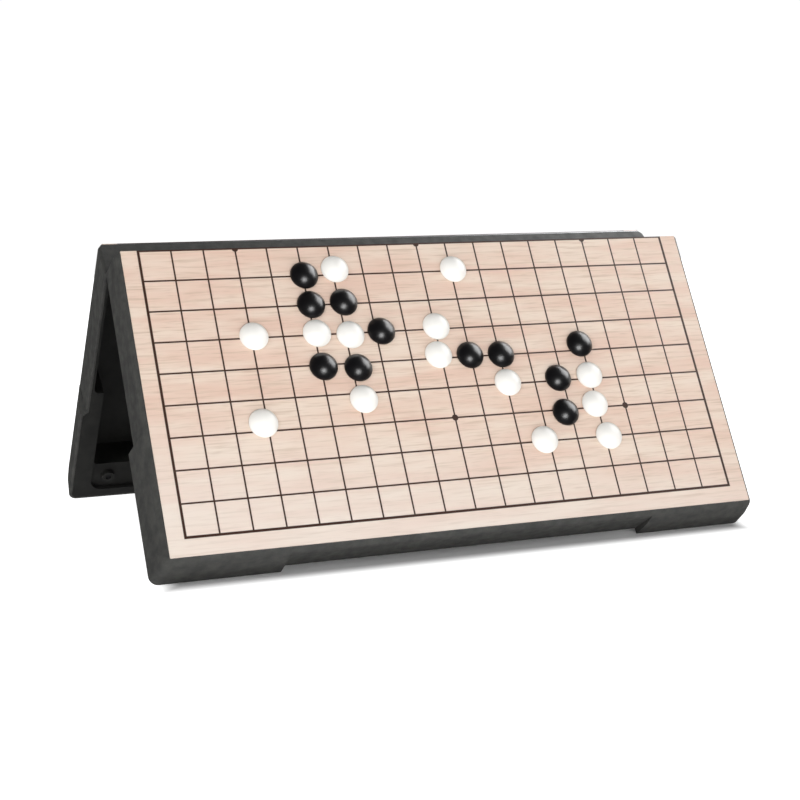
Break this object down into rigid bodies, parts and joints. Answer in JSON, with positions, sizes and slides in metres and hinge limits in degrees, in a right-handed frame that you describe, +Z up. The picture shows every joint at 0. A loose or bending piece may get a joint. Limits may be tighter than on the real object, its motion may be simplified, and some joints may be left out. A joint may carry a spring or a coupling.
{
  "type": "weiqi set",
  "caption": "Folding magnetic weiqi board in a hinged black plastic case, standing half open like a tent, with white and black domed stones on its front half.",
  "frame": {"origin": "on the table, under the middle of the fold, at the middle of the bounding box's bottom", "axes": "+X along the fold to the right seen from the front, -Y towards the half with the stones, +Z up"},
  "size_m": [0.2878, 0.1832, 0.1313],
  "materials": {
    "case_plastic": "fine spark texture",
    "liner_plastic": "fine spark texture",
    "screw_steel": "zinc plated",
    "magnet_ferrite": "sintered ferrite, ground flat",
    "plate_steel": "zinc coated sheet",
    "printed_sheet": "printed wood grain under a satin film",
    "pin_steel": "bright drawn wire",
    "white_stone": "polished",
    "black_stone": "polished"
  },
  "bodies": {
    "front_half": {"front_shell": "case_plastic", "front_liner": "liner_plastic", "front_liner_screws": "screw_steel", "front_closing_magnets": "magnet_ferrite", "front_steel_plate": "plate_steel", "front_board_sheet": "printed_sheet", "hinge_pin_left": "pin_steel", "hinge_pin_right": "pin_steel"},
    "back_half": {"back_shell": "case_plastic", "back_liner": "liner_plastic", "back_liner_screws": "screw_steel", "back_closing_magnets": "magnet_ferrite", "back_steel_plate": "plate_steel", "back_board_sheet": "printed_sheet"},
    "white_stone_01": {"white_stone_01": "white_stone"},
    "white_stone_02": {"white_stone_02": "white_stone"},
    "white_stone_03": {"white_stone_03": "white_stone"},
    "white_stone_04": {"white_stone_04": "white_stone"},
    "white_stone_05": {"white_stone_05": "white_stone"},
    "white_stone_06": {"white_stone_06": "white_stone"},
    "white_stone_07": {"white_stone_07": "white_stone"},
    "white_stone_08": {"white_stone_08": "white_stone"},
    "white_stone_09": {"white_stone_09": "white_stone"},
    "white_stone_10": {"white_stone_10": "white_stone"},
    "white_stone_11": {"white_stone_11": "white_stone"},
    "white_stone_12": {"white_stone_12": "white_stone"},
    "white_stone_13": {"white_stone_13": "white_stone"},
    "white_stone_14": {"white_stone_14": "white_stone"},
    "black_stone_01": {"black_stone_01": "black_stone"},
    "black_stone_02": {"black_stone_02": "black_stone"},
    "black_stone_03": {"black_stone_03": "black_stone"},
    "black_stone_04": {"black_stone_04": "black_stone"},
    "black_stone_05": {"black_stone_05": "black_stone"},
    "black_stone_06": {"black_stone_06": "black_stone"},
    "black_stone_07": {"black_stone_07": "black_stone"},
    "black_stone_08": {"black_stone_08": "black_stone"},
    "black_stone_09": {"black_stone_09": "black_stone"},
    "black_stone_10": {"black_stone_10": "black_stone"},
    "black_stone_11": {"black_stone_11": "black_stone"}
  },
  "joints": [
    {"name": "fold_hinge", "type": "hinge", "parent": "front_half", "child": "back_half", "pos_m": [0, 0, 0.12047], "axis": [1, 0, 0], "range_deg": [-65, 115]},
    {"name": "white_stone_01_lift", "type": "slide", "parent": "front_half", "child": "white_stone_01", "axis": [0, -0.8434, 0.5373], "range_m": [0, 0.03]},
    {"name": "white_stone_02_lift", "type": "slide", "parent": "front_half", "child": "white_stone_02", "axis": [0, -0.8434, 0.5373], "range_m": [0, 0.03]},
    {"name": "white_stone_03_lift", "type": "slide", "parent": "front_half", "child": "white_stone_03", "axis": [0, -0.8434, 0.5373], "range_m": [0, 0.03]},
    {"name": "white_stone_04_lift", "type": "slide", "parent": "front_half", "child": "white_stone_04", "axis": [0, -0.8434, 0.5373], "range_m": [0, 0.03]},
    {"name": "white_stone_05_lift", "type": "slide", "parent": "front_half", "child": "white_stone_05", "axis": [0, -0.8434, 0.5373], "range_m": [0, 0.03]},
    {"name": "white_stone_06_lift", "type": "slide", "parent": "front_half", "child": "white_stone_06", "axis": [0, -0.8434, 0.5373], "range_m": [0, 0.03]},
    {"name": "white_stone_07_lift", "type": "slide", "parent": "front_half", "child": "white_stone_07", "axis": [0, -0.8434, 0.5373], "range_m": [0, 0.03]},
    {"name": "white_stone_08_lift", "type": "slide", "parent": "front_half", "child": "white_stone_08", "axis": [0, -0.8434, 0.5373], "range_m": [0, 0.03]},
    {"name": "white_stone_09_lift", "type": "slide", "parent": "front_half", "child": "white_stone_09", "axis": [0, -0.8434, 0.5373], "range_m": [0, 0.03]},
    {"name": "white_stone_10_lift", "type": "slide", "parent": "front_half", "child": "white_stone_10", "axis": [0, -0.8434, 0.5373], "range_m": [0, 0.03]},
    {"name": "white_stone_11_lift", "type": "slide", "parent": "front_half", "child": "white_stone_11", "axis": [0, -0.8434, 0.5373], "range_m": [0, 0.03]},
    {"name": "white_stone_12_lift", "type": "slide", "parent": "front_half", "child": "white_stone_12", "axis": [0, -0.8434, 0.5373], "range_m": [0, 0.03]},
    {"name": "white_stone_13_lift", "type": "slide", "parent": "front_half", "child": "white_stone_13", "axis": [0, -0.8434, 0.5373], "range_m": [0, 0.03]},
    {"name": "white_stone_14_lift", "type": "slide", "parent": "front_half", "child": "white_stone_14", "axis": [0, -0.8434, 0.5373], "range_m": [0, 0.03]},
    {"name": "black_stone_01_lift", "type": "slide", "parent": "front_half", "child": "black_stone_01", "axis": [0, -0.8434, 0.5373], "range_m": [0, 0.03]},
    {"name": "black_stone_02_lift", "type": "slide", "parent": "front_half", "child": "black_stone_02", "axis": [0, -0.8434, 0.5373], "range_m": [0, 0.03]},
    {"name": "black_stone_03_lift", "type": "slide", "parent": "front_half", "child": "black_stone_03", "axis": [0, -0.8434, 0.5373], "range_m": [0, 0.03]},
    {"name": "black_stone_04_lift", "type": "slide", "parent": "front_half", "child": "black_stone_04", "axis": [0, -0.8434, 0.5373], "range_m": [0, 0.03]},
    {"name": "black_stone_05_lift", "type": "slide", "parent": "front_half", "child": "black_stone_05", "axis": [0, -0.8434, 0.5373], "range_m": [0, 0.03]},
    {"name": "black_stone_06_lift", "type": "slide", "parent": "front_half", "child": "black_stone_06", "axis": [0, -0.8434, 0.5373], "range_m": [0, 0.03]},
    {"name": "black_stone_07_lift", "type": "slide", "parent": "front_half", "child": "black_stone_07", "axis": [0, -0.8434, 0.5373], "range_m": [0, 0.03]},
    {"name": "black_stone_08_lift", "type": "slide", "parent": "front_half", "child": "black_stone_08", "axis": [0, -0.8434, 0.5373], "range_m": [0, 0.03]},
    {"name": "black_stone_09_lift", "type": "slide", "parent": "front_half", "child": "black_stone_09", "axis": [0, -0.8434, 0.5373], "range_m": [0, 0.03]},
    {"name": "black_stone_10_lift", "type": "slide", "parent": "front_half", "child": "black_stone_10", "axis": [0, -0.8434, 0.5373], "range_m": [0, 0.03]},
    {"name": "black_stone_11_lift", "type": "slide", "parent": "front_half", "child": "black_stone_11", "axis": [0, -0.8434, 0.5373], "range_m": [0, 0.03]}
  ]
}
